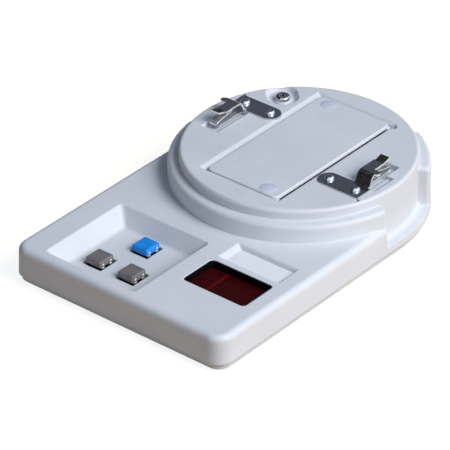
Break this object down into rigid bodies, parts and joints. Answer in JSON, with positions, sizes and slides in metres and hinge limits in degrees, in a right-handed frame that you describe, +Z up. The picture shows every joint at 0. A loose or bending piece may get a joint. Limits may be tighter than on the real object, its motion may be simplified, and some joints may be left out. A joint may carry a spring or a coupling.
{
  "type": "detector head tester",
  "caption": "Flat white desk tester with a sunk keypad and a dark red display in front and a round drum with sprung contact clips behind, for setting twist-on detector heads.",
  "frame": {"origin": "on the table under the middle of the overall length and width", "axes": "+Z up, +Y from the keypad end to the drum end, +X to the display side"},
  "size_m": [0.0994, 0.1552, 0.0321],
  "materials": {
    "white_shell": "fine satin moulded white",
    "clear_dot": "clear soft dome",
    "grey_foam": "soft foam",
    "contact_steel": "polished stamped strip",
    "spring_steel": "bright spring strip",
    "rivet_metal": "bright domed",
    "plated_screw": "bright plated",
    "foot_rubber": "matt black",
    "grey_key": "satin grey",
    "blue_key": "satin blue",
    "white_plunger": "natural white",
    "black_moulding": "satin black",
    "grey_moulding": "satin grey",
    "segment_resin": "unlit diffusing resin",
    "red_window": "dark red tinted, glossy",
    "label_film": "bare satin film",
    "board_laminate": "green varnish",
    "can_metal": "drawn can",
    "battery_jacket": "printed steel jacket, bare",
    "red_sleeve": "wire sleeve",
    "black_sleeve": "wire sleeve",
    "white_sleeve": "wire sleeve"
  },
  "bodies": {
    "case": {"top_housing": "white_shell", "bottom_cover": "white_shell", "contact_plate_left": "contact_steel", "contact_plate_right": "contact_steel", "contact_spring_left": "spring_steel", "contact_spring_right": "spring_steel", "contact_rivets": "rivet_metal", "drum_screw": "plated_screw", "case_screws": "plated_screw", "board_screws": "plated_screw", "rubber_feet": "foot_rubber", "key_switches": "black_moulding", "display_bezel": "black_moulding", "display_filter": "red_window", "display_module": "grey_moulding", "display_segments": "segment_resin", "label_plate": "label_film", "main_board": "board_laminate", "controller_chip": "black_moulding", "driver_chip": "black_moulding", "crystal": "can_metal", "sounder": "black_moulding", "capacitors": "can_metal", "battery": "battery_jacket", "battery_snap": "black_moulding", "battery_lead_red": "red_sleeve", "battery_lead_black": "black_sleeve", "contact_lead_left": "white_sleeve", "contact_lead_right": "white_sleeve"},
    "hatch": {"hatch_plate": "white_shell", "hatch_bumpers": "clear_dot", "hatch_foam": "grey_foam"},
    "key_left": {"key_cap_left": "grey_key", "key_plunger_left": "white_plunger"},
    "key_right": {"key_cap_right": "grey_key", "key_plunger_right": "white_plunger"},
    "key_rear": {"key_cap_rear": "blue_key", "key_plunger_rear": "white_plunger"}
  },
  "joints": [
    {"name": "key_left_press", "type": "slide", "parent": "case", "child": "key_left", "axis": [0, 0, -1], "range_m": [0, 0.001], "stiffness_N_per_m": 400, "springref_m": -0.002},
    {"name": "key_right_press", "type": "slide", "parent": "case", "child": "key_right", "axis": [0, 0, -1], "range_m": [0, 0.001], "stiffness_N_per_m": 400, "springref_m": -0.002},
    {"name": "key_rear_press", "type": "slide", "parent": "case", "child": "key_rear", "axis": [0, 0, -1], "range_m": [0, 0.001], "stiffness_N_per_m": 400, "springref_m": -0.002},
    {"name": "hatch_lift", "type": "slide", "parent": "case", "child": "hatch", "axis": [0, 0, 1], "range_m": [0, 0.03]}
  ]
}
